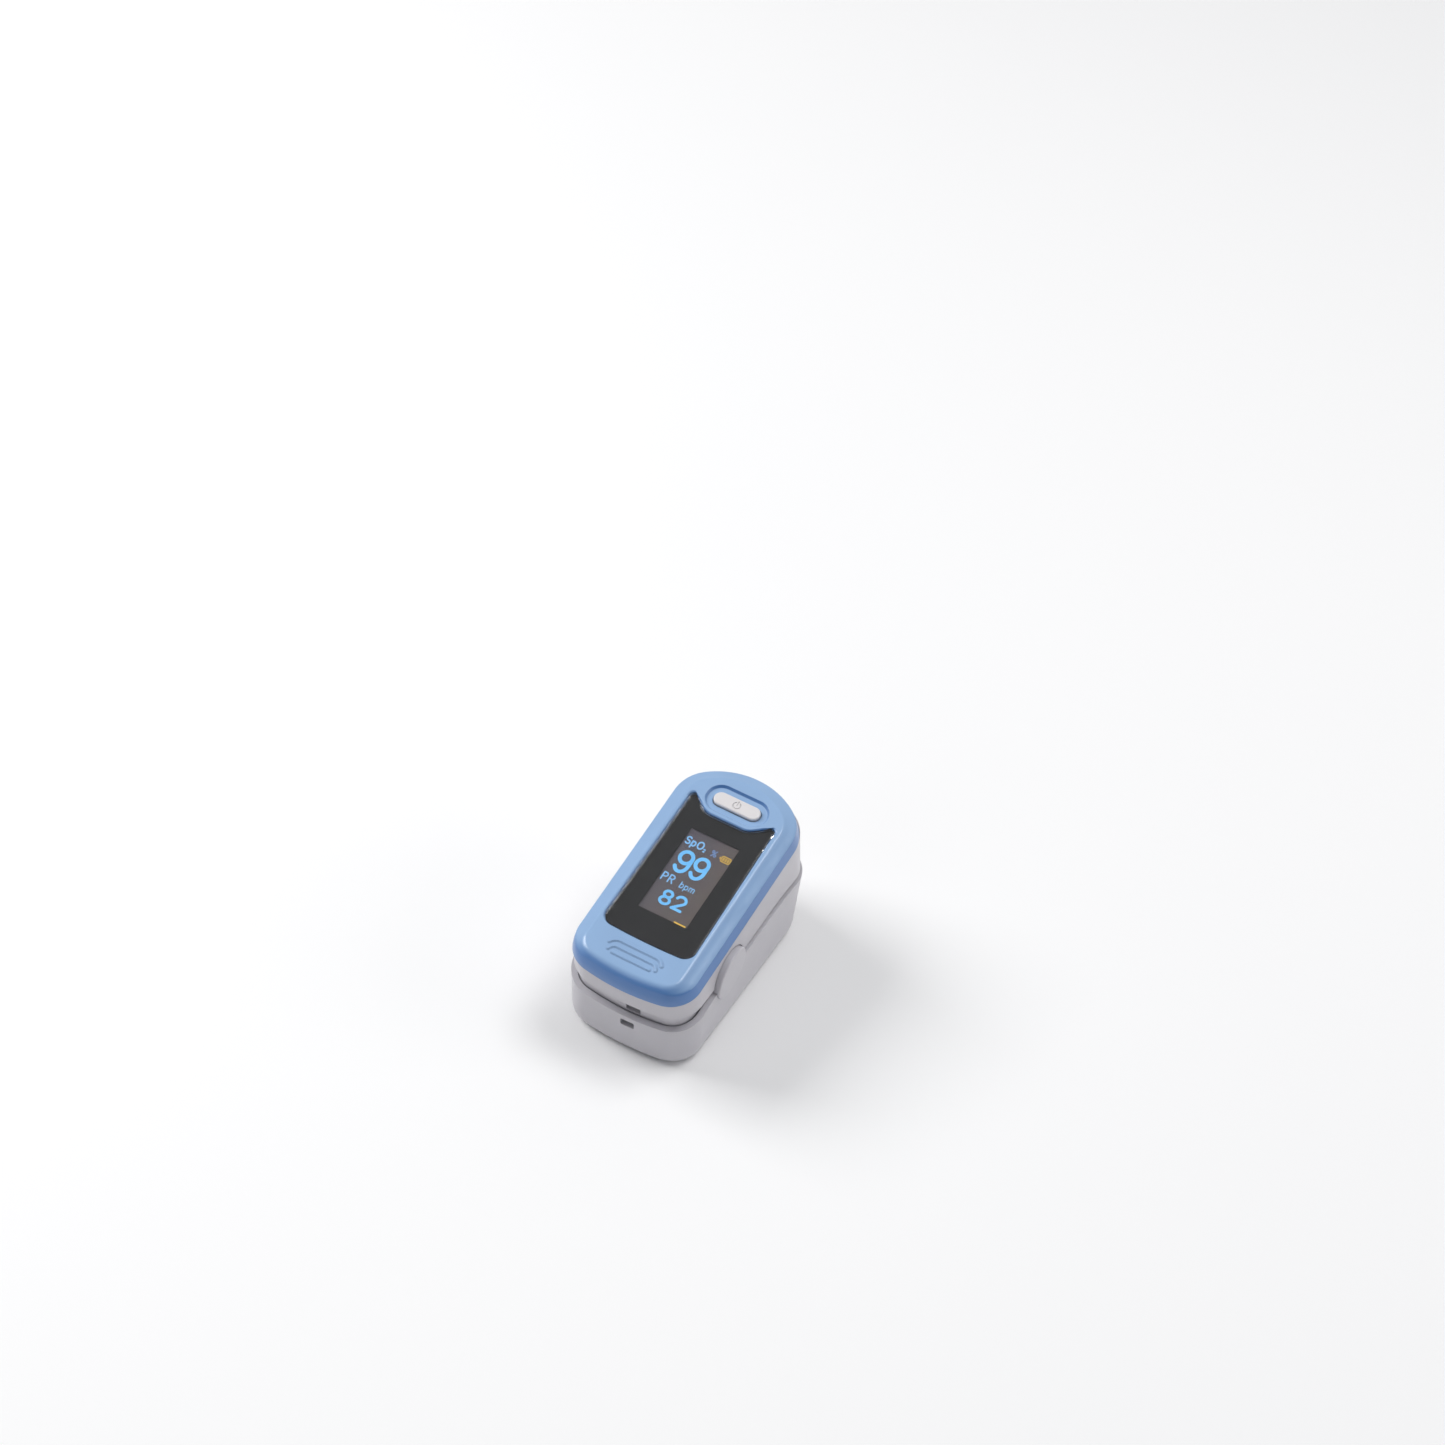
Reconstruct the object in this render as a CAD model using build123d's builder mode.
from build123d import *
import math
import os

# Fingertip pulse oximeter: a spring-loaded clip of two jaws on one cross pin.
# Millimetres, +Z up, X across. -Y is the squeeze end (front), +Y the finger end (rear).
# Origin: the point of the flat underside below the middle of the body.
# The lower jaw is drawn in this frame. The upper jaw is drawn on planes that lean
# back with it at rest, so its heights are measured from its flat top (z 0, down negative).

os.makedirs("parts", exist_ok=True)

# ================================================================= DIMENSIONS
# hinge
pivot_y = -9.7            # hinge pin, along the body
pivot_z = 16.5            # hinge pin, above the underside
pivot = (pivot_y, pivot_z)
pin_r = 1.0
pin_half_len = 15.3
pin_gap = 0.03            # radial clearance in the lower jaw
jaw_lean = 9.3            # upper jaw leans back by this at rest, degrees
squeeze = 12.0            # how far the jaws open, degrees
pivot_depth = 12.6        # hinge pin below the flat top of the upper jaw

# top cover
cover_skirt = -4.6        # lower edge
crease = -1.5             # crease between the slanted side and the top band
cover_half_w = 14.6       # half width at the lower edge
cover_front = -28.8
cover_rear = 29.0
cover_wall = 1.5
cover_plate = 2.1         # thickness of the top plate
roll_len = 2.6            # front roll, along the body
hook_ys = (14, -16)       # snap hooks and their catches, along the body

# window and display
window_t = 1.0
window_bevel = 0.2
window_front = -18.65
window_half_front = 10.5
window_half_rear = 10.0
window_tip_y = 18.3
window_notch_y = 15.0
window_gap = 0.14         # window to its pocket
display_half_w = 5.7
display_front = -11.5
display_rear = 10.6
display_mid = (0, (display_front + display_rear) / 2)

# power button
button_y = 19.6
button_len = 10.9
button_w = 3.35
crater_len = 14.5
crater_w = 7.0
crater_depth = 0.55

# main board and upper deck
board_top = -4.5
board_t = 1.0
under_board = board_top - board_t - 0.01
over_board = board_top + 0.01
deck_top = -8.0
deck_bottom = -9.0

# shells
wall = 1.3
low_ref_z = 18.5                       # height of the second value in each pair below
low_half_w = (14.9, 15.42)             # lower shell at the underside and at low_ref_z
low_front = (-27.2, -28.9)
low_rear = (28.1, 28.8)
low_top = 24.0                         # shell height before the lip is cut
ear_r = 5.9
ear_gap = 0.2
ear_in = 14.0                          # inner face of the ear
ear_out = 15.95                        # outer face of the ear
seat_x = 13.85                         # seat in the upper housing, facing the ear
beyond_side = 20.0                     # clear of the body, across
beyond_rear = 32                       # clear of the body, finger end

# batteries, AAA
cell_r = 5.25
cell_len = 44.5
cell_x = 5.35
cell_z = 7.3
cell_front = -20.8
cell_rear = cell_front + cell_len

# door
door_half_w = 11.5
door_front = -20.0
door_t = 1.25
door_gap = 0.12

# battery tray
tray_bottom = 13.05
tray_top = 13.7

# light path: source in the upper jaw, sensor in the lower
finger_r = 9.6            # finger groove in both pads
led_y = 8.0
led_board_w, led_board_len = 8.8, 10.8
sensor_y = 9.0
sensor_board_w, sensor_board_len = 7.6, 9.6
board_play = 0.4          # pocket larger than the small boards, overall
lens_w, lens_len = 5.2, 6.8
lens_corner = 0.8
lens_play = 0.2           # pad opening larger than the lens, overall

# ================================================================= PLANES
lean_cos = math.cos(math.radians(jaw_lean))
lean_sin = math.sin(math.radians(jaw_lean))


def up_point(x, y, z):
    """Upper-jaw coordinates to the row frame."""
    dy, dz = y - pivot_y, z + pivot_depth
    return (x, pivot_y + dy * lean_cos - dz * lean_sin, pivot_z + dy * lean_sin + dz * lean_cos)


def spun(y, z, degrees):
    """A side-view point turned about the hinge pin."""
    angle = math.radians(degrees)
    dy, dz = y - pivot_y, z - pivot_z
    return (pivot_y + dy * math.cos(angle) - dz * math.sin(angle),
            pivot_z + dy * math.sin(angle) + dz * math.cos(angle))


def up_across(y):
    """Plane across the upper jaw, facing the finger end; sketch y is jaw height."""
    return Plane(origin=up_point(0, y, 0), x_dir=(-1, 0, 0), z_dir=(0, lean_cos, lean_sin))


def across(y):
    """Plane across the row frame at y, facing the squeeze end; sketch y is height."""
    return Plane.XZ.offset(-y)


up_normal = (0, -lean_sin, lean_cos)
UP = Plane(origin=up_point(0, 0, 0), x_dir=(1, 0, 0), z_dir=up_normal)      # flat top
UP_SIDE = Plane(origin=up_point(0, 0, 0), x_dir=(0, lean_cos, lean_sin), z_dir=(1, 0, 0))
UP_AXIS = Axis((0, 0, 0), up_normal)


# ================================================================= OUTLINES
def flip(point):
    """Mirror a sketch point across x = 0."""
    return (-point[0], point[1])


def both_sides(x, *ys):
    """Points at x and -x for each y."""
    return [(side, y) for y in ys for side in (x, -x)]


def y_strip(width, y_front, y_rear):
    """Rectangle centred on x = 0, between two stations along the body."""
    with Locations((0, (y_front + y_rear) / 2)):
        Rectangle(width, y_rear - y_front)


def cross_slot(length, width):
    """Cross recess of a screw head."""
    Rectangle(length, width)
    Rectangle(width, length)


def plan_outline(half_w, y_front, y_rear, front_r, front_bow, rear_r, rear_bow):
    """Rounded plan: ends bowed to radii front_bow and rear_bow, corners front_r and rear_r."""
    front_mid = y_front + front_bow
    front_x = half_w - front_r
    front_y = front_mid - math.sqrt((front_bow - front_r) ** 2 - front_x ** 2)
    front_sweep = math.degrees(math.atan2(front_mid - front_y, front_x))
    rear_mid = y_rear - rear_bow
    rear_x = half_w - rear_r
    rear_y = rear_mid + math.sqrt((rear_bow - rear_r) ** 2 - rear_x ** 2)
    rear_sweep = math.degrees(math.atan2(rear_y - rear_mid, rear_x))
    Line((half_w, front_y), (half_w, rear_y))
    CenterArc((rear_x, rear_y), rear_r, 0, rear_sweep)
    CenterArc((0, rear_mid), rear_bow, rear_sweep, 180 - 2 * rear_sweep)
    CenterArc((-rear_x, rear_y), rear_r, 180 - rear_sweep, rear_sweep)
    Line((-half_w, rear_y), (-half_w, front_y))
    CenterArc((-front_x, front_y), front_r, 180, front_sweep)
    CenterArc((0, front_mid), front_bow, 180 + front_sweep, 180 - 2 * front_sweep)
    CenterArc((front_x, front_y), front_r, 360 - front_sweep, front_sweep)


def cover_outline(height, half_w, y_rear):
    """Cover section; its front end follows a quarter ellipse."""
    rise = (height - cover_skirt) / -cover_skirt
    y_front = cover_front + roll_len * (1 - math.sqrt(max(0.0, 1 - rise * rise)))
    plan_outline(half_w, y_front, y_rear, front_r=half_w - 7.6, front_bow=50,
                 rear_r=half_w - 5.1, rear_bow=y_rear - 11.0)


def upper_outline(half_w, y_front, y_rear, inset):
    """Upper housing section, moved in by inset."""
    plan_outline(half_w - inset, y_front + inset, y_rear - inset,
                 front_r=half_w - inset - 7.4, front_bow=52 - inset,
                 rear_r=8.8 - inset, rear_bow=22 - inset)


def lower_outline(height, inset):
    """Drafted lower shell section at a height, moved in by inset."""
    share = height / low_ref_z
    half_w, y_front, y_rear = [low + (high - low) * share
                               for low, high in (low_half_w, low_front, low_rear)]
    plan_outline(half_w - inset, y_front + inset, y_rear - inset,
                 front_r=7.2 - inset, front_bow=60 - inset,
                 rear_r=8.8 - inset, rear_bow=26 - inset)


def window_outline(grow):
    """Near rectangle, its rear edge concave between two horns, grown outwards."""
    half_front, half_rear = window_half_front + grow, window_half_rear + grow
    front = window_front - grow
    tip_y = window_tip_y + grow
    corner = 2.5 + grow
    tip = 1.0 + grow * 0.6
    front_end = (half_front - corner, front + 0.22)
    corner_mid = (half_front - corner * 0.31, front + corner * 0.38)
    side_front = (half_front, front + corner)
    side_rear = (half_rear, tip_y - 1.6 * tip)
    tip_mid = (half_rear - 0.25, tip_y - 0.35)
    # from the tip of the horn down to the flat of the notch
    horn = [(half_rear - 1.0, tip_y), (7.2 - grow * 0.4, 16.75 + grow),
            (5.7, 15.65 + grow), (3.6, window_notch_y + grow)]
    left_horn = [flip(point) for point in reversed(horn)]
    ThreePointArc(flip(front_end), (0, front), front_end)
    ThreePointArc(front_end, corner_mid, side_front)
    Line(side_front, side_rear)
    ThreePointArc(side_rear, tip_mid, horn[0])
    Spline(*horn, tangents=((-0.75, -0.66), (-1, 0)))
    Line(horn[-1], left_horn[0])
    Spline(*left_horn, tangents=((-1, 0), (-0.75, 0.66)))
    ThreePointArc(left_horn[-1], flip(tip_mid), flip(side_rear))
    Line(flip(side_rear), flip(side_front))
    ThreePointArc(flip(side_front), flip(corner_mid), flip(front_end))


def finger_arch(end, shoulder, crown):
    """Opening across the jaw, from heights end to shoulder, arched to the crown."""
    half_w = 10.2
    Line((-half_w, end), (-half_w, shoulder))
    ThreePointArc((-half_w, shoulder), (0, crown), (half_w, shoulder))
    Line((half_w, shoulder), (half_w, end))
    Line((half_w, end), (-half_w, end))


def save(name, piece):
    """Label a piece and write its STEP file."""
    piece.part.label = name
    export_step(piece.part, "parts/" + name + ".step")


# lip of the lower shell, side view: y, z
lip_points = [
    (-30.5, 11.45), (-28.0, 12.0), (-21.0, 14.1), (-16.0, 15.35), (pivot_y, 16.55),
    (-1.0, 17.2), (5.5, 17.7), (12.5, 17.9), (20.0, 17.4), (31.0, 17.0),
]
# lower edge of the upper shell, side view: in front of the pin it clears the lip at
# full squeeze, behind the pin it leaves a thin parting gap
edge_front = [spun(y, z, -(squeeze + 0.9))
              for y, z in [(-28.6, 11.9), (-21.0, 14.1), (-16.5, 15.25)]]
edge_rear = [(-1.0, 17.65), (5.5, 18.25), (12.5, 18.7), (20.0, 18.3), (beyond_rear, 18.1)]

# ================================================================= UPPER JAW
# ---- top cover: a cap with a crease, a slanted side and a rolled front
# sections: height, half width, rear end
side_sections = [
    (cover_skirt, cover_half_w, cover_rear), (-3.55, 14.38, 28.79), (-2.5, 14.16, 28.57),
    (crease, 13.95, 28.35),
]
band_sections = [
    (crease, 13.95, 28.35), (-1.0, 12.98, 27.38), (-0.5, 12.02, 26.42),
    (-0.12, 11.35, 25.75), (0.0, 10.95, 25.35),
]
ridge_steps = [(0.95, 0.05), (0.68, 0.1), (0.4, 0.15)]                # line width, height
ridge_arches = [(4.1, -20.95, 2.3, 62), (4.0, -22.5, 1.6, 75)]        # half flat, y, end radius, sweep
ridge_bar_y, ridge_bar_len = -24.15, 8.6
ridge_root = 0.1                                                      # sunk into the cover

with BuildPart() as top_cover:
    for sections in (side_sections, band_sections):
        for height, half_w, y_rear in sections:
            with BuildSketch(UP.offset(height)):
                with BuildLine():
                    cover_outline(height, half_w, y_rear)
                make_face()
        loft()
    # hollow under the plate
    with BuildSketch(UP.offset(cover_skirt)):
        with BuildLine():
            plan_outline(cover_half_w - cover_wall, cover_front + 1.7, cover_rear - 1.6,
                         front_r=5.5, front_bow=48, rear_r=8.0, rear_bow=16.4)
        make_face()
    extrude(amount=-cover_skirt - cover_plate, mode=Mode.SUBTRACT)
    # window pocket with a flared rim
    with BuildSketch(UP):
        with BuildLine():
            window_outline(window_gap)
        make_face()
    extrude(amount=-window_t - 0.2, mode=Mode.SUBTRACT)
    for height, grow in ((0.02, 0.42), (-0.24, window_gap)):
        with BuildSketch(UP.offset(height)):
            with BuildLine():
                window_outline(grow)
            make_face()
    loft(ruled=True, mode=Mode.SUBTRACT)
    # display opening; the rest of the pocket floor is the window's ledge
    with BuildSketch(UP):
        with Locations(display_mid):
            RectangleRounded(2 * display_half_w + 1.0, display_rear - display_front + 1.0, 0.5)
    extrude(amount=-5, mode=Mode.SUBTRACT)
    # shallow crater round the power button, and the button's hole
    with BuildSketch(UP):
        with Locations((0, button_y)):
            SlotOverall(crater_len, crater_w)
    extrude(amount=-crater_depth, taper=38, mode=Mode.SUBTRACT)
    with BuildSketch(UP):
        with Locations((0, button_y)):
            SlotOverall(button_len + 0.3, button_w + 0.3)
    extrude(amount=-5, mode=Mode.SUBTRACT)
    # grip ridges near the squeeze end: two nested low arches and a bar, in shallow steps
    for width, height in ridge_steps:
        for flat, crown, radius, sweep in ridge_arches:
            arch_end, arch_mid = [
                (flat + radius * math.sin(angle), crown - radius + radius * math.cos(angle))
                for angle in (math.radians(sweep), math.radians(sweep / 2))]
            with BuildSketch(UP.offset(-ridge_root)):
                with BuildLine():
                    ThreePointArc(flip(arch_end), flip(arch_mid), (-flat, crown))
                    Line((-flat, crown), (flat, crown))
                    ThreePointArc((flat, crown), arch_mid, arch_end)
                trace(line_width=width)
                with Locations(flip(arch_end), arch_end):
                    Circle(width / 2)
            extrude(amount=ridge_root + height)
        with BuildSketch(UP.offset(-ridge_root)):
            with Locations((0, ridge_bar_y)):
                SlotOverall(ridge_bar_len + width, width)
        extrude(amount=ridge_root + height)
    # four snap hooks inside the rim
    with BuildSketch(UP.offset(cover_skirt - 1.6)):
        with Locations(*both_sides(12.45, *hook_ys)):
            Rectangle(0.8, 5)
    extrude(amount=4.2)
save("top_cover", top_cover)

# ---- window lens with a bevelled rim
with BuildPart() as display_window:
    with BuildSketch(UP.offset(-window_bevel)):
        with BuildLine():
            window_outline(0.0)
        make_face()
    extrude(amount=-window_t + window_bevel)
    for height, grow in ((-window_bevel, 0.0), (0.0, -window_bevel)):
        with BuildSketch(UP.offset(height)):
            with BuildLine():
                window_outline(grow)
            make_face()
    loft(ruled=True)
save("display_window", display_window)

# ---- black print behind the window, open over the display
with BuildPart() as window_print:
    with BuildSketch(UP.offset(-window_t - 0.02)):
        with BuildLine():
            window_outline(-0.1)
        make_face()
        with Locations(display_mid):
            Rectangle(2 * display_half_w, display_rear - display_front, mode=Mode.SUBTRACT)
    extrude(amount=-0.13)
save("window_print", window_print)

# ---- display panel: two glass sheets, the lower one longer towards the squeeze end
panel_top = -cover_plate - 0.04
panel_w = 19.2
sheet_t = 0.72
with BuildPart() as oled_panel:
    for height, y_mid, length in ((panel_top, -0.4, 24.2), (panel_top - sheet_t, -2.0, 27.4)):
        with BuildSketch(UP.offset(height)):
            with Locations((0, y_mid)):
                Rectangle(panel_w, length)
        extrude(amount=-sheet_t)
save("oled_panel", oled_panel)

# ---- foam frame under the display
with BuildPart() as oled_cushion:
    with BuildSketch(UP.offset(board_top + 0.02)):
        with Locations((0, -1.0)):
            RectangleRounded(17.0, 21.0, 1.0)
            RectangleRounded(12.0, 16.0, 1.0, mode=Mode.SUBTRACT)
    extrude(amount=0.88)
save("oled_cushion", oled_cushion)

# ---- display flex: folded film from the driver ledge down to the board
# section in the side view of the upper jaw: y, height
display_flex_section = [
    (-15.7, -2.75), (-16.6, -2.75), (-17.6, -3.4), (-17.6, -3.9), (-16.8, -4.42),
    (-14.2, -4.42), (-14.2, -4.28), (-16.75, -4.28), (-17.45, -3.84), (-17.45, -3.46),
    (-16.55, -2.86), (-15.75, -2.86),
]
display_flex_w = 11
with BuildPart() as display_flex:
    with BuildSketch(UP_SIDE.offset(-display_flex_w / 2)):
        with BuildLine():
            Polyline(*display_flex_section, close=True)
        make_face()
    extrude(amount=display_flex_w)
save("display_flex", display_flex)

# ---- main circuit board
with BuildPart() as main_board:
    with BuildSketch(UP.offset(board_top)):
        with BuildLine():
            plan_outline(11.7, -24.5, 25.2, front_r=4.2, front_bow=48, rear_r=6.6, rear_bow=13.4)
        make_face()
        with Locations(*both_sides(10.0, 3.0)):
            Circle(0.75, mode=Mode.SUBTRACT)
    extrude(amount=-board_t)
save("main_board", main_board)

# ---- parts soldered under the board, and a few on top
low_chips = [(-1.5, -1.0, 7.0, 7.0), (6.2, 6.2, 4.9, 3.9), (-7.2, 9.5, 3.2, 2.5)]  # x, y, size
small_chips = [(4.5, -8.0), (4.5, -10.5), (8.0, -4.0), (-8.3, 1.0), (-8.3, 3.4)]   # x, y
tall_chips = [(0, -19.2, 9.0, 4.2), (0.5, 16.0, 7.0, 3.6)]                         # x, y, size
with BuildPart() as board_components:
    with BuildSketch(UP.offset(under_board)):
        for x, y, width, length in low_chips:
            with Locations((x, y)):
                Rectangle(width, length)
        with Locations(*small_chips):
            Rectangle(1.6, 0.8)
    extrude(amount=-1.0)
    with BuildSketch(UP.offset(under_board)):
        for x, y, width, length in tall_chips:
            with Locations((x, y)):
                Rectangle(width, length)
    extrude(amount=-1.9)
    with BuildSketch(UP.offset(over_board)):
        with Locations(*both_sides(7.5, 19.6), *both_sides(8.4, 15.2)):
            Rectangle(2.0, 1.25)
    extrude(amount=0.8)
save("board_components", board_components)

# ---- tact switch on the board, under the button: body, four feet, well for the plunger
with BuildPart() as tact_switch:
    with BuildSketch(UP.offset(over_board)):
        with Locations((0, button_y)):
            RectangleRounded(5.2, 5.2, 0.6)
    extrude(amount=1.15)
    with BuildSketch(UP.offset(over_board)):
        with Locations(*both_sides(3.1, button_y + 1.8, button_y - 1.8)):
            Rectangle(1.2, 0.7)
    extrude(amount=0.25)
    with BuildSketch(UP.offset(-4.2)):
        with Locations((0, button_y)):
            Circle(1.2)
    extrude(amount=2, mode=Mode.SUBTRACT)
save("tact_switch", tact_switch)

with BuildPart() as switch_plunger:
    with BuildSketch(UP.offset(-3.85)):
        with Locations((0, button_y)):
            Circle(1.12)
    extrude(amount=0.87)
    chamfer(switch_plunger.edges().filter_by(GeomType.CIRCLE).sort_by(UP_AXIS)[-1], 0.15)
save("switch_plunger", switch_plunger)

# ---- power button: obround cap, retaining flange, foot over the switch
button_top = 0.22
button_bottom = -2.2
with BuildPart() as power_button:
    with BuildSketch(UP.offset(button_bottom)):
        with Locations((0, button_y)):
            SlotOverall(button_len, button_w)
    extrude(amount=button_top - button_bottom)
    fillet(power_button.faces().sort_by(UP_AXIS)[-1].edges(), 0.42)
    with BuildSketch(UP.offset(button_bottom - 0.5)):
        with Locations((0, button_y)):
            SlotOverall(button_len + 1.7, button_w + 1.5)
    extrude(amount=0.52)
    with BuildSketch(UP.offset(-2.96)):
        with Locations((0, button_y)):
            Circle(1.6)
    extrude(amount=0.5)
    # power mark: a broken ring and a bar, engraved
    with BuildSketch(UP.offset(button_top)):
        with Locations((0, button_y - 0.1)):
            Circle(0.92)
            Circle(0.68, mode=Mode.SUBTRACT)
        with Locations((0, button_y + 0.7)):
            Rectangle(0.8, 1.0, mode=Mode.SUBTRACT)
        with Locations((0, button_y + 0.45)):
            Rectangle(0.24, 1.1)
    extrude(amount=-0.12, mode=Mode.SUBTRACT)
save("power_button", power_button)

# ---- upper housing: ring wall, deck, ear seats and hinge knuckles
# wall sections: height, half width, front, rear
upper_sections = [(cover_skirt - 0.04, 14.35, -28.5, 28.75), (-19.0, 15.1, -28.1, 28.35)]
ear_backing_t = 1.6
knuckle_r = 2.7
knuckle_w = 2.25
with BuildPart() as housing_wall:
    for inset, mode in ((0, Mode.ADD), (wall, Mode.SUBTRACT)):
        for height, half_w, y_front, y_rear in upper_sections:
            with BuildSketch(UP.offset(height)):
                with BuildLine():
                    upper_outline(half_w, y_front, y_rear, inset)
                make_face()
        loft(ruled=True, mode=mode)
    # deck across the wall
    with BuildSketch(UP.offset(deck_bottom)):
        with BuildLine():
            plan_outline(13.6, -27.7, 28.0, front_r=6.0, front_bow=50.7, rear_r=7.6, rear_bow=20.7)
        make_face()
    extrude(amount=deck_top - deck_bottom)
    # thicker wall on the inner side of each ear
    for x in (ear_in - ear_backing_t, -ear_in):
        with BuildSketch(Plane.YZ.offset(x)):
            with Locations(pivot):
                Circle(6.8)
        extrude(amount=ear_backing_t)
    # keep only what is above the parting edge
    with BuildSketch(Plane.YZ):
        with BuildLine():
            front_edge = Spline(*edge_front)
            Line(front_edge @ 1, edge_rear[0])
            rear_edge = Spline(*edge_rear)
            Polyline(rear_edge @ 1, (beyond_rear, 60), (-40, 60), (-40, edge_front[0][1] + 0.2),
                     front_edge @ 0)
        make_face()
    extrude(amount=beyond_side, both=True, mode=Mode.INTERSECT)
    # flat seats for the ears
    for x in (seat_x, -beyond_side):
        with BuildSketch(Plane.YZ.offset(x)):
            with Locations(pivot):
                Circle(ear_r + ear_gap)
        extrude(amount=beyond_side - seat_x, mode=Mode.SUBTRACT)
    # hinge knuckles, with a web up to the deck
    for x in (seat_x - knuckle_w, -seat_x):
        with BuildSketch(Plane.YZ.offset(x)):
            with Locations(pivot):
                Circle(knuckle_r)
            with BuildLine():
                Polyline((pivot_y - knuckle_r, pivot_z), (pivot_y + knuckle_r, pivot_z),
                         (pivot_y + knuckle_r, pivot_z + 3.6),
                         (pivot_y - knuckle_r, pivot_z + 2.9), close=True)
            make_face()
        extrude(amount=knuckle_w)
    with BuildSketch(Plane.YZ.offset(-beyond_side)):
        with Locations(pivot):
            Circle(pin_r + 0.06)
    extrude(amount=2 * beyond_side, mode=Mode.SUBTRACT)

# skirt: a thin inset wall below the rim, inside the lower shell's lip
skirt_low = -15.2
with BuildPart() as skirt_ring:
    for height, y_front in ((skirt_low, -27.24), (-8.5, -27.1)):
        with BuildSketch(UP.offset(height)):
            with BuildLine():
                plan_outline(13.62, y_front, 27.0, front_r=5.4, front_bow=62, rear_r=8, rear_bow=20)
            make_face()
    loft(ruled=True)
    with BuildSketch(UP.offset(skirt_low - 0.1)):
        with BuildLine():
            plan_outline(12.62, -26.1, 26.0, front_r=5.0, front_bow=49, rear_r=7, rear_bow=19)
        make_face()
    extrude(amount=7.0, mode=Mode.SUBTRACT)
    # only in front of the ear seats
    with BuildSketch(UP.offset(skirt_low)):
        with Locations((0, -22.2)):
            Rectangle(40, 13.4)
    extrude(amount=6.7, mode=Mode.INTERSECT)
    # lanyard notch through the front wall
    with BuildSketch(UP_SIDE.offset(0.5)):
        with BuildLine():
            Polyline((-30, -9.0), (-24, -9.0), (-24, -13.6), (-30, -13.6), close=True)
        make_face()
    extrude(amount=3.3, mode=Mode.SUBTRACT)

upper_screw_spots = both_sides(10.6, 21.0, -2.6)
with BuildPart() as upper_housing:
    add(housing_wall.part)
    add(skirt_ring.part)
    # finger arch through the rear wall
    with BuildSketch(up_across(24.0)):
        with BuildLine():
            finger_arch(end=-25, shoulder=-15.6, crown=-10.9)
        make_face()
    extrude(amount=8, mode=Mode.SUBTRACT)
    # bosses for the frame screws, ending just under the board, with pilot holes
    with BuildSketch(UP.offset(deck_top - 0.01)):
        with Locations(*upper_screw_spots):
            Circle(1.8)
    extrude(amount=2.45)
    with BuildSketch(UP.offset(deck_bottom)):
        with Locations(*upper_screw_spots):
            Circle(0.83)
    extrude(amount=3.4, mode=Mode.SUBTRACT)
    # openings in the deck: flex slot and wiring slot to the light source
    with BuildSketch(UP.offset(deck_bottom)):
        with Locations((0, -15.6)):
            Rectangle(7.0, 2.4)
        with Locations((0, 10.0)):
            Rectangle(8.0, 3.0)
    extrude(amount=3, mode=Mode.SUBTRACT)
    # catches for the cover's hooks
    with BuildSketch(UP.offset(-6.9)):
        with Locations(*both_sides(12.9, *hook_ys)):
            Rectangle(1.4, 4)
    extrude(amount=0.6)
save("upper_housing", upper_housing)

# ---- inner frame of the upper jaw: carries the pad and the light source
with BuildPart() as upper_frame:
    with BuildSketch(UP.offset(deck_bottom - 0.05)):
        with BuildLine():
            plan_outline(12.4, -6.2, 26.2, front_r=2.0, front_bow=400, rear_r=7.0, rear_bow=20)
        make_face()
    extrude(amount=-1.6)
    # pocket for the light source board, opening for its lens
    with BuildSketch(UP.offset(deck_bottom)):
        with Locations((0, led_y)):
            Rectangle(led_board_w + board_play, led_board_len + board_play)
    extrude(amount=-0.95, mode=Mode.SUBTRACT)
    with BuildSketch(UP.offset(deck_bottom)):
        with Locations((0, led_y)):
            Rectangle(lens_w + 2 * lens_play, lens_len + 2 * lens_play)
    extrude(amount=-3, mode=Mode.SUBTRACT)
    # countersunk seats and holes for the screws: radius, depth
    for radius, depth in ((1.75, 0.95), (0.95, 3)):
        with BuildSketch(UP.offset(-10.7)):
            with Locations(*upper_screw_spots):
                Circle(radius)
        extrude(amount=depth, mode=Mode.SUBTRACT)
save("upper_frame", upper_frame)

# ---- screws of the upper frame: heads, shanks, cross recesses
upper_screw_base = -10.62
with BuildPart() as upper_screws:
    for radius, length in ((1.55, 0.8), (0.8, 4.6)):
        with BuildSketch(UP.offset(upper_screw_base)):
            with Locations(*upper_screw_spots):
                Circle(radius)
        extrude(amount=length)
    with BuildSketch(UP.offset(upper_screw_base)):
        with Locations(*upper_screw_spots):
            cross_slot(1.7, 0.4)
    extrude(amount=0.4, mode=Mode.SUBTRACT)
save("upper_screws", upper_screws)

# ---- light source board and lens
led_board_bottom = -9.9
with BuildPart() as led_board:
    with BuildSketch(UP.offset(led_board_bottom)):
        with Locations((0, led_y)):
            Rectangle(led_board_w, led_board_len)
    extrude(amount=0.8)
save("led_board", led_board)

with BuildPart() as led_lens:
    with BuildSketch(UP.offset(led_board_bottom - 0.03)):
        with Locations((0, led_y)):
            RectangleRounded(lens_w, lens_len, lens_corner)
    extrude(amount=-2.15)
    fillet(led_lens.faces().sort_by(UP_AXIS)[0].edges(), 0.35)
save("led_lens", led_lens)

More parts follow.
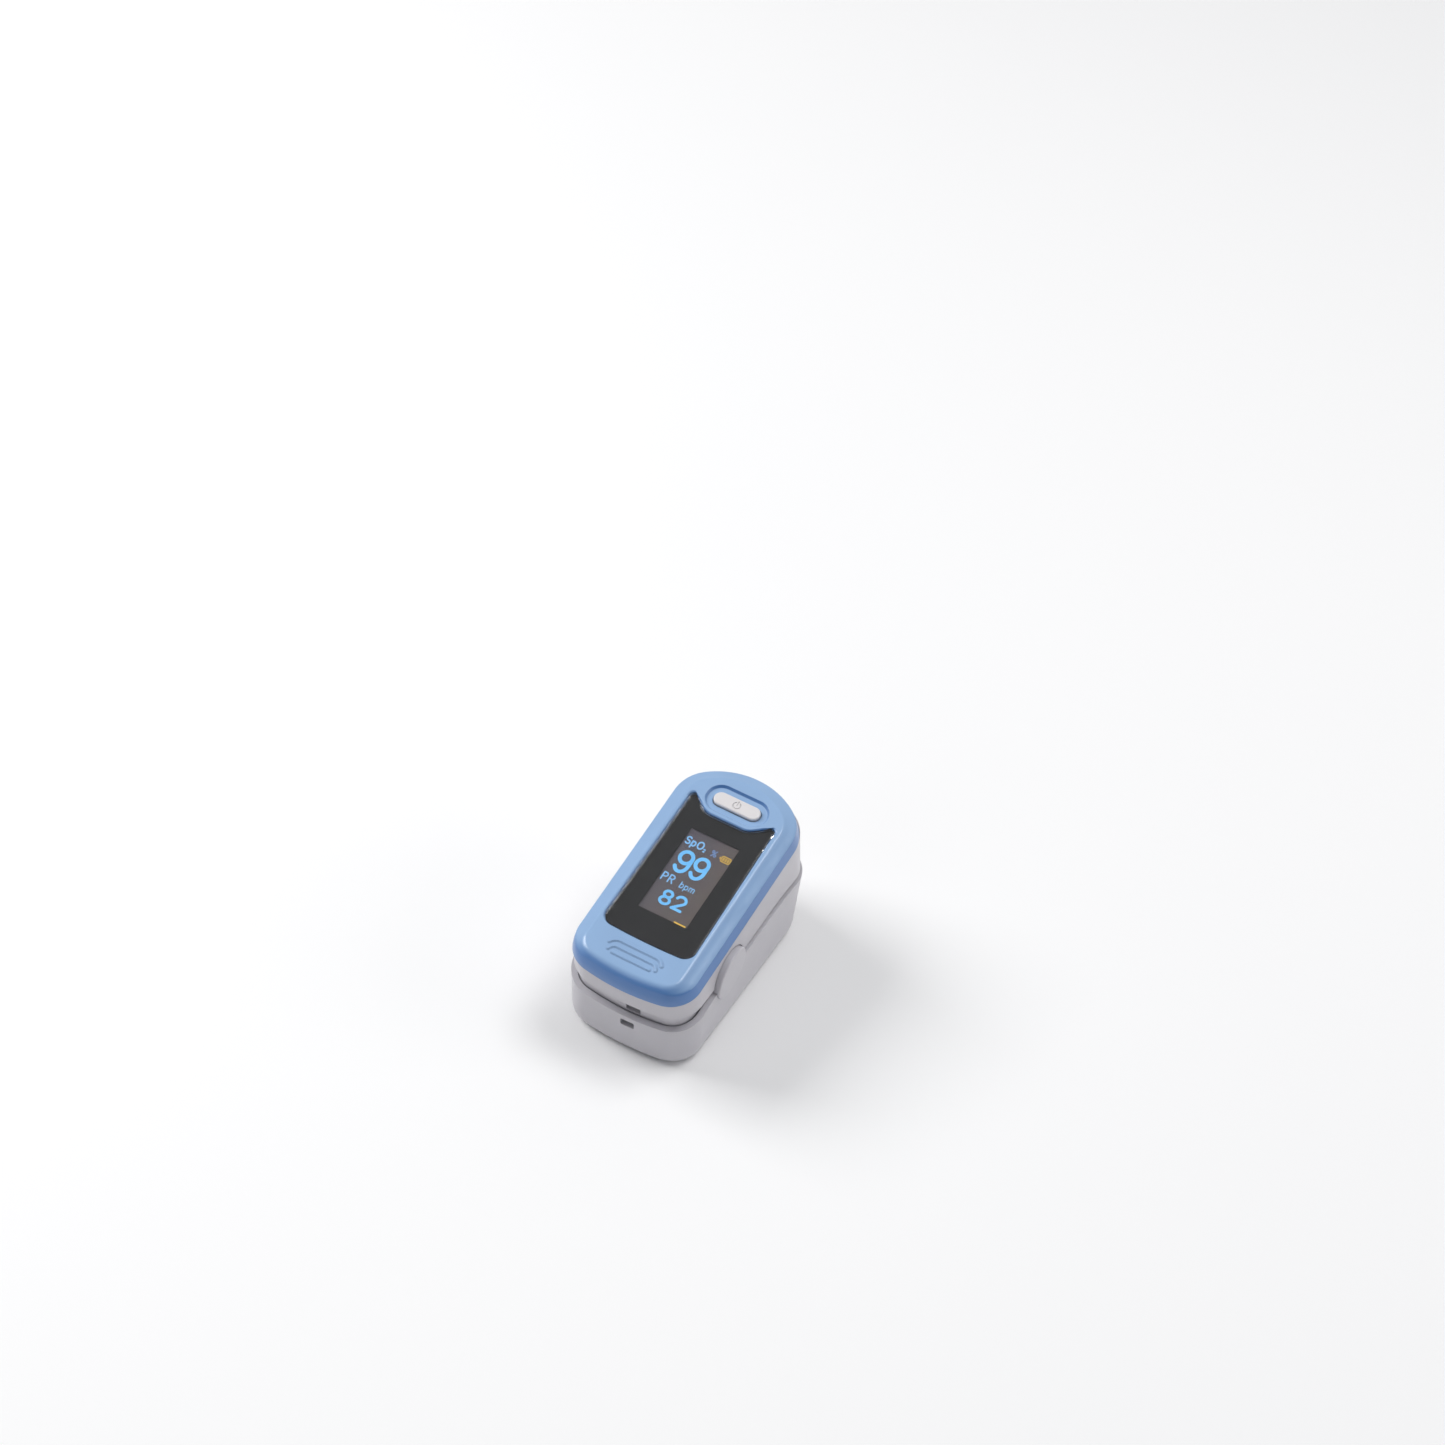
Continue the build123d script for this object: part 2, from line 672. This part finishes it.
# ---- upper finger pad: moulded silicone with an arched groove
pad_edge = [(-6.8, 17.55)] + [(y, z + 0.15) for y, z in edge_rear]     # y, z
with BuildPart() as upper_finger_pad:
    with BuildSketch(UP.offset(-10.69)):
        with BuildLine():
            plan_outline(11.9, -5.4, 26.8, front_r=2.0, front_bow=400, rear_r=6.0, rear_bow=24)
        make_face()
    extrude(amount=-9)
    # keep only what is above the parting edge
    with BuildSketch(Plane.YZ):
        with BuildLine():
            lower_edge = Spline(*pad_edge)
            Polyline(lower_edge @ 1, (beyond_rear, 60), (pad_edge[0][0], 60), lower_edge @ 0)
        make_face()
    extrude(amount=beyond_side, both=True, mode=Mode.INTERSECT)
    # finger groove, closed at the fingertip end
    with BuildSketch(up_across(-2.6)):
        with Locations((0, -21.6)):
            Circle(finger_r)
    extrude(amount=40, mode=Mode.SUBTRACT)
    # opening for the lens
    with BuildSketch(UP.offset(-10.0)):
        with Locations((0, led_y)):
            RectangleRounded(lens_w + lens_play, lens_len + lens_play, lens_corner)
    extrude(amount=-5, mode=Mode.SUBTRACT)
save("upper_finger_pad", upper_finger_pad)

# ================================================================= LOWER JAW
# ---- ear on the +X side: a disc on the pin, its outer face slightly slanted
ear_face = Plane(origin=(ear_out - 0.22, pivot_y, pivot_z), x_dir=(0, 1, 0),
                 z_dir=(1, 0.04, -0.02))
with BuildPart() as ear:
    with BuildSketch(Plane.YZ.offset(ear_in)):
        with Locations(pivot):
            Circle(ear_r)
    extrude(amount=ear_out - ear_in)
    split(bisect_by=ear_face, keep=Keep.BOTTOM)
    fillet(ear.faces().sort_by(Axis.X)[-1].edges(), 0.35)

# ---- outer body of the lower jaw: rounded underside edge, then the drafted wall
# height, inset
lower_rings = [(0.0, 2.3), (0.3, 1.35), (0.85, 0.6), (1.6, 0.17), (2.6, 0.0), (low_top, 0.0)]
with BuildPart() as lower_outer:
    for height, inset in lower_rings:
        with BuildSketch(Plane.XY.offset(height)):
            with BuildLine():
                lower_outline(height, inset)
            make_face()
    loft(ruled=True)

lower_screw_ys = (1.0, 15.5)
lower_screw_spots = both_sides(12.35, *lower_screw_ys)
pin_hole_half = pin_half_len + 0.1
with BuildPart() as lower_housing:
    add(lower_outer.part)
    # inside
    for height in (1.4, low_top):
        with BuildSketch(Plane.XY.offset(height)):
            with BuildLine():
                lower_outline(height, wall)
            make_face()
    loft(ruled=True, mode=Mode.SUBTRACT)
    # lip line
    with BuildSketch(Plane.YZ):
        with BuildLine():
            lip = Spline(*lip_points)
            Polyline(lip @ 1, (31, -1), (-30.5, -1), lip @ 0)
        make_face()
    extrude(amount=beyond_side, both=True, mode=Mode.INTERSECT)
    # finger arch through the rear wall
    with BuildSketch(across(beyond_rear)):
        with BuildLine():
            finger_arch(end=24, shoulder=17.2, crown=14.1)
        make_face()
    extrude(amount=8, mode=Mode.SUBTRACT)
    # ears
    add(ear.part)
    mirror(ear.part, about=Plane.YZ)
    # blind holes for the hinge pin
    with BuildSketch(Plane.YZ.offset(-pin_hole_half)):
        with Locations(pivot):
            Circle(pin_r + pin_gap)
    extrude(amount=2 * pin_hole_half, mode=Mode.SUBTRACT)
    # lanyard slot just under the lip at the squeeze end
    with BuildSketch(across(-20)):
        with Locations((1.6, 9.6)):
            RectangleRounded(3.1, 1.9, 0.4)
    extrude(amount=14, mode=Mode.SUBTRACT)
    # door opening through the floor and the rear edge
    with BuildSketch(Plane.XY.offset(-1)):
        y_strip(2 * (door_half_w + door_gap), door_front - door_gap, beyond_rear)
    extrude(amount=2.4, mode=Mode.SUBTRACT)
    # screw posts against the side walls, with pilot holes
    with BuildSketch(Plane.XY.offset(1.3)):
        with Locations(*both_sides(12.75, *lower_screw_ys)):
            Rectangle(2.7, 2.9)
    extrude(amount=11.7)
    with BuildSketch(Plane.XY.offset(6.0)):
        with Locations(*lower_screw_spots):
            Circle(0.62)
    extrude(amount=8, mode=Mode.SUBTRACT)
    # grooves for the door's side tongues
    with BuildSketch(Plane.XY.offset(0.45)):
        y_strip(2 * door_half_w + 1.7, door_front + 5, beyond_rear)
    extrude(amount=0.65, mode=Mode.SUBTRACT)
save("lower_housing", lower_housing)

# ---- battery door: slides out towards the finger end
with BuildPart() as battery_door:
    add(lower_outer.part)
    with BuildSketch(Plane.XY):
        y_strip(2 * door_half_w, door_front, beyond_rear)
    extrude(amount=door_t, mode=Mode.INTERSECT)
    # side tongues
    with BuildSketch(Plane.XY.offset(0.52)):
        y_strip(2 * door_half_w + 1.4, door_front + 5.2, 18.0)
    extrude(amount=0.5)
    # thumb grooves
    with BuildSketch(Plane.XY):
        with Locations(*[(0, 14.0 + 2.0 * i) for i in range(5)]):
            SlotOverall(12.0, 0.9)
    extrude(amount=0.35, mode=Mode.SUBTRACT)
save("battery_door", battery_door)

# ---- battery tray: deck over the cells, ribs between and beside them, end walls
cradle_bottom = 1.7
front_wall_y = -23.14
lug_x, lug_w = 4.6, 1.5
with BuildPart() as battery_tray:
    with BuildSketch(Plane.XY.offset(tray_bottom)):
        with Locations((0, -13.0)):
            Rectangle(22.6, 19.2)
        with BuildLine():
            plan_outline(13.4, -3.8, 26.3, front_r=1.0, front_bow=400, rear_r=7.2, rear_bow=24.3)
        make_face()
    extrude(amount=tray_top - tray_bottom)
    # the cradle walls
    with BuildSketch(Plane.XY.offset(cradle_bottom)):
        with Locations((0, 0.8)):
            Rectangle(0.4, 47.4)
        with Locations(*both_sides(11.15, -12.0, 10.7)):
            Rectangle(0.4, 12.0)
        with Locations((0, front_wall_y)):
            Rectangle(21.4, 0.52)
        with Locations((0, 25.46)):
            Rectangle(14.4, 0.56)
    extrude(amount=tray_bottom - cradle_bottom + 0.1)
    # the squeeze end of the upper jaw swings down past the corners of the front wall
    with BuildSketch(Plane.XY.offset(8.1)):
        with Locations(*both_sides(9.5, front_wall_y)):
            Rectangle(3.4, 0.7)
    extrude(amount=tray_bottom - 8.1 + 0.3, mode=Mode.SUBTRACT)
    # seat for the right contact plate
    with BuildSketch(Plane.XY.offset(3.6)):
        with Locations((cell_x, -22.1)):
            Rectangle(8.6, 1.7)
    extrude(amount=tray_bottom - 3.6 + 0.1)
    # room for the cells
    with BuildSketch(across(cell_front - 0.1)):
        with Locations(*both_sides(cell_x, cell_z)):
            Circle(cell_r + 0.12)
    extrude(amount=-cell_len - 0.3, mode=Mode.SUBTRACT)
    # lugs that carry the middle of the hinge pin
    for x in (lug_x, -lug_x - lug_w):
        with BuildSketch(Plane.YZ.offset(x)):
            with BuildLine():
                base = Line((pivot_y - 3.2, tray_top - 0.1), (pivot_y + 3.2, tray_top - 0.1))
                rear_side = Line(base @ 1, (pivot_y + 2.2, pivot_z + 0.4))
                crown_arc = ThreePointArc(rear_side @ 1, (pivot_y, pivot_z + 2.3),
                                          (pivot_y - 2.2, pivot_z + 0.4))
                Line(crown_arc @ 1, base @ 0)
            make_face()
            with Locations(pivot):
                Circle(pin_r + pin_gap, mode=Mode.SUBTRACT)
        extrude(amount=lug_w)
    # screw holes
    with BuildSketch(Plane.XY.offset(12)):
        with Locations(*lower_screw_spots):
            Circle(0.8)
    extrude(amount=3, mode=Mode.SUBTRACT)
save("battery_tray", battery_tray)

# ---- tray screws: shanks, heads, cross recesses
with BuildPart() as lower_screws:
    for height, radius, length in ((8.0, 0.58, 6.0), (tray_top + 0.02, 1.2, 0.8)):
        with BuildSketch(Plane.XY.offset(height)):
            with Locations(*lower_screw_spots):
                Circle(radius)
        extrude(amount=length)
    with BuildSketch(Plane.XY.offset(tray_top + 0.5)):
        with Locations(*lower_screw_spots):
            cross_slot(1.4, 0.32)
    extrude(amount=0.5, mode=Mode.SUBTRACT)
save("lower_screws", lower_screws)


# ---- cells: the left one has its button at the finger end, the right one in front
button_rise = 0.8         # button beyond the can
button_stub = 0.85        # button as drawn, rooted in the can


def cell(x, can_front, stub_front):
    """A cell along Y: can with rounded rims, then its button."""
    with BuildPart() as piece:
        with BuildSketch(across(can_front)):
            with Locations((x, cell_z)):
                Circle(cell_r)
        extrude(amount=-(cell_len - button_rise))
        fillet(piece.edges().filter_by(GeomType.CIRCLE), 0.4)
        with BuildSketch(across(stub_front)):
            with Locations((x, cell_z)):
                Circle(1.9)
        extrude(amount=-button_stub)
    return piece


save("battery_left", cell(-cell_x, cell_front, cell_rear - button_stub))
save("battery_right", cell(cell_x, cell_front + button_rise, cell_front))

# ---- contact springs at the flat ends of the cells, as stacks of shrinking rings
# x, y of the ring next to the cell, step along y, number of rings
spring_stacks = [
    (-cell_x, cell_front - 0.26, -0.4, 4),
    (cell_x, cell_rear + 0.26, 0.29, 3),
]
with BuildPart() as contact_springs:
    for x, y_start, step, count in spring_stacks:
        with BuildSketch(Plane(origin=(x, 0, cell_z), x_dir=(1, 0, 0), z_dir=(0, 0, 1))):
            with Locations(*[(2.6 - 0.12 * i, y_start + step * i) for i in range(count)]):
                Circle(0.22)
        revolve(axis=Axis((x, 0, cell_z), (0, 1, 0)))
save("contact_springs", contact_springs)

# ---- plates at the squeeze end: at the right cell's button, and behind the left spring
with BuildPart() as contact_plates:
    for x, gap in ((cell_x, 0.03), (-cell_x, 1.72)):
        with BuildSketch(across(cell_front - gap)):
            with Locations((x, cell_z)):
                RectangleRounded(7.0, 6.6, 0.8)
        extrude(amount=0.3)
save("contact_plates", contact_plates)

# ---- bridge: one strip across both cells at the finger end, dimpled for the left cell
with BuildPart() as contact_bridge:
    with BuildSketch(across(cell_rear + 1.1)):
        with Locations((0, cell_z)):
            RectangleRounded(15.2, 6.0, 0.8)
    extrude(amount=-0.33)
    with BuildSketch(across(cell_rear + 0.03)):
        with Locations((-cell_x, cell_z)):
            Circle(2.0)
    extrude(amount=-1.1)
save("contact_bridge", contact_bridge)

# ---- lower finger pad
with BuildPart() as lower_finger_pad:
    with BuildSketch(Plane.XY.offset(tray_top + 0.02)):
        with BuildLine():
            plan_outline(10.7, -5.2, 26.9, front_r=2.0, front_bow=400, rear_r=5.0, rear_bow=24.3)
        make_face()
    extrude(amount=4.5)
    # keep only what is below the lip, from the pin to the finger end
    with BuildSketch(Plane.YZ):
        with BuildLine():
            upper_edge = Spline(*[(y, z - 0.35) for y, z in lip_points[4:]])
            Polyline(upper_edge @ 1, (31, 0), (pivot_y, 0), upper_edge @ 0)
        make_face()
    extrude(amount=beyond_side, both=True, mode=Mode.INTERSECT)
    # finger groove, closed at the fingertip end
    with BuildSketch(across(-2.6)):
        with Locations((0, 24.7)):
            Circle(finger_r)
    extrude(amount=-40, mode=Mode.SUBTRACT)
    # lens opening, and a recess below for the board and its film
    with BuildSketch(Plane.XY.offset(13)):
        with Locations((0, sensor_y)):
            RectangleRounded(lens_w + lens_play, lens_len + lens_play, lens_corner)
    extrude(amount=5, mode=Mode.SUBTRACT)
    with BuildSketch(Plane.XY.offset(13)):
        with Locations((0, sensor_y)):
            Rectangle(sensor_board_w + board_play, sensor_board_len + board_play)
        with Locations((0, -1.0)):
            Rectangle(5.6, 12.0)
    extrude(amount=1.22, mode=Mode.SUBTRACT)
save("lower_finger_pad", lower_finger_pad)

# ---- sensor board and lens
with BuildPart() as sensor_board:
    with BuildSketch(Plane.XY.offset(tray_top + 0.01)):
        with Locations((0, sensor_y)):
            Rectangle(sensor_board_w, sensor_board_len)
    extrude(amount=0.45)
save("sensor_board", sensor_board)

with BuildPart() as sensor_lens:
    with BuildSketch(Plane.XY.offset(tray_top + 0.47)):
        with Locations((0, sensor_y)):
            RectangleRounded(lens_w, lens_len, lens_corner)
    extrude(amount=1.05)
    fillet(sensor_lens.faces().sort_by(Axis.Z)[-1].edges(), 0.3)
save("sensor_lens", sensor_lens)

# ================================================================= HINGE
with BuildPart() as hinge_pin:
    with BuildSketch(Plane.YZ.offset(-pin_half_len)):
        with Locations(pivot):
            Circle(pin_r)
    extrude(amount=2 * pin_half_len)
    chamfer(hinge_pin.edges().filter_by(GeomType.CIRCLE), 0.15)
save("hinge_pin", hinge_pin)

# ---- torsion springs: rings round the pin, one leg on each jaw, both towards the squeeze end
coil_r = 2.1
wire_r = 0.33
coil_x = 7.33             # innermost turn
coil_pitch = 0.6
coil_turns = 7
leg_len = 10.2
# x, angle round the pin in degrees, sense of the tangent
spring_legs = [
    (coil_x, -88.3, 1),                                      # under the pin, on the tray
    (coil_x + coil_pitch * (coil_turns - 1), 93.3, -1),      # over the pin, under the deck
]
with BuildPart() as torsion_spring_right:
    with BuildSketch(Plane(origin=(0, *pivot), x_dir=(1, 0, 0), z_dir=(0, 0, 1))):
        with Locations(*[(coil_x + coil_pitch * i, coil_r) for i in range(coil_turns)]):
            Circle(wire_r)
    revolve(axis=Axis((0, *pivot), (1, 0, 0)))
    for x, degrees, sense in spring_legs:
        leg_cos = math.cos(math.radians(degrees))
        leg_sin = math.sin(math.radians(degrees))
        with BuildSketch(Plane(origin=(x, pivot_y + coil_r * leg_cos, pivot_z + coil_r * leg_sin),
                               z_dir=(0, sense * leg_sin, -sense * leg_cos))):
            Circle(wire_r)
        extrude(amount=leg_len)
save("torsion_spring_right", torsion_spring_right)

with BuildPart() as torsion_spring_left:
    mirror(torsion_spring_right.part, about=Plane.YZ)
save("torsion_spring_left", torsion_spring_left)

# ---- sensor film: from the deck's flex slot, in front of the pin, to the sensor board
film_w = 5.0
film_z = 13.84
film_top = up_point(0, -15.6, -8.9)
with BuildPart() as sensor_flex:
    with BuildSketch(Plane.YZ.offset(-film_w / 2)):
        with BuildLine():
            drop = Spline(film_top[1:], (-15.1, 17.6), (-14.3, 15.2), (-11.5, film_z),
                          tangents=((0.1, -1), (1, 0)))
            Line(drop @ 1, (4.1, film_z))
        trace(line_width=0.2)
    extrude(amount=film_w)
save("sensor_flex", sensor_flex)
